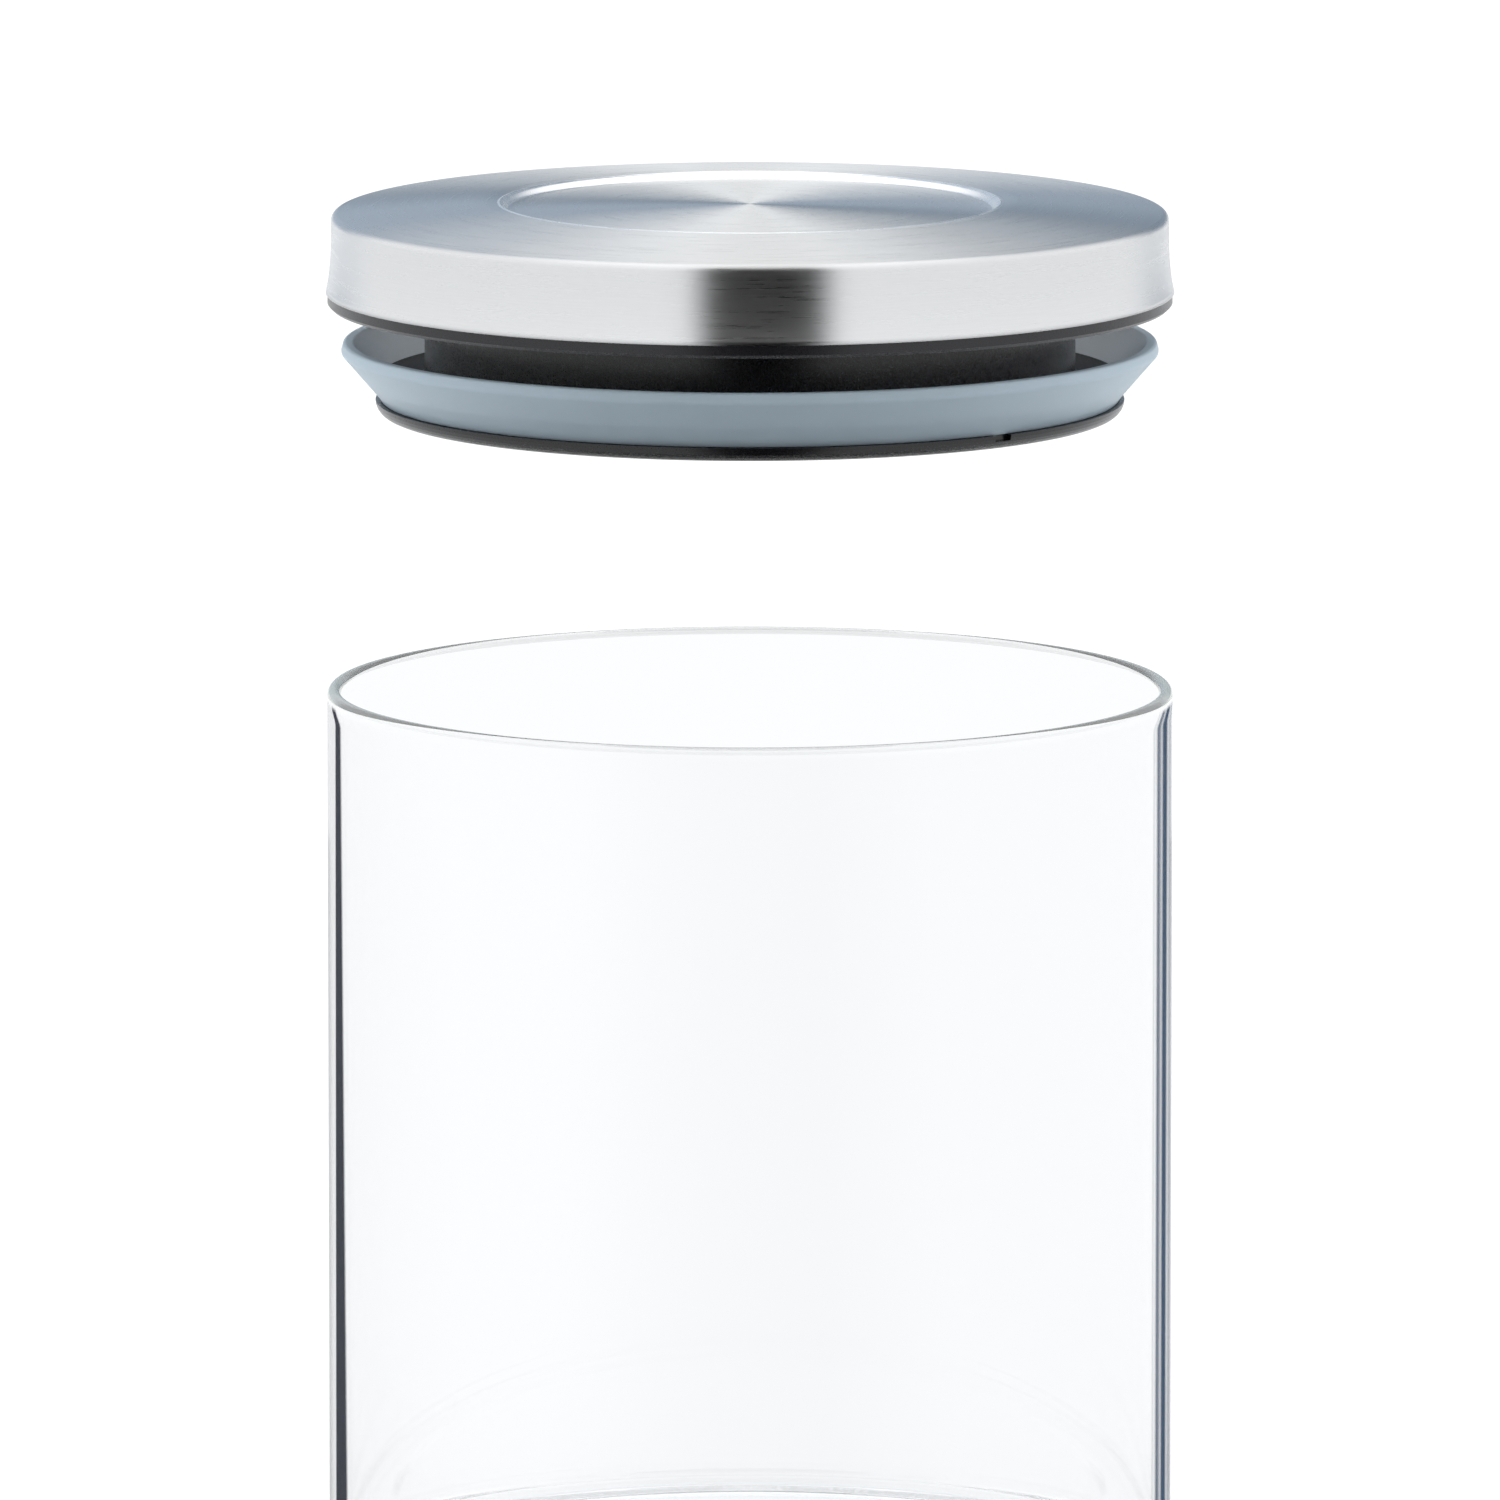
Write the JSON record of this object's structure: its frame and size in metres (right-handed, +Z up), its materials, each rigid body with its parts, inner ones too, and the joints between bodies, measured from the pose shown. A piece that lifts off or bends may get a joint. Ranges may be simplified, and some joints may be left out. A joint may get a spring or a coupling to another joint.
{
  "type": "lidded glass canister",
  "caption": "Straight-walled clear glass storage jar with a lift-off brushed steel lid, a black hub and a flared silicone seal.",
  "frame": {"origin": "centre of the jar's foot, on the surface that it stands on", "axes": "+Z up along the jar's axis and the way that the lid lifts; -Y is the front"},
  "size_m": [0.1002, 0.1002, 0.1678],
  "materials": {
    "clear_glass": "clear, fire-polished",
    "brushed_cap_steel": "spun and brushed in rings",
    "black_plate_plastic": "satin moulded",
    "adhesive": "cured bead",
    "black_hub_plastic": "satin wall, spark-textured shoulder",
    "frosted_silicone": "translucent, satin",
    "black_keeper_plastic": "satin moulded"
  },
  "bodies": {
    "jar": {"glass_jar": "clear_glass"},
    "lid": {"steel_cap": "brushed_cap_steel", "cap_liner": "black_plate_plastic", "bond_ring": "adhesive", "hub_cup": "black_hub_plastic", "seal_ring": "frosted_silicone", "keeper_disc": "black_keeper_plastic"}
  },
  "joints": [
    {"name": "lid_lift", "type": "slide", "parent": "jar", "child": "lid", "axis": [0, 0, 1], "range_m": [-0.0455, 0.0345]}
  ]
}
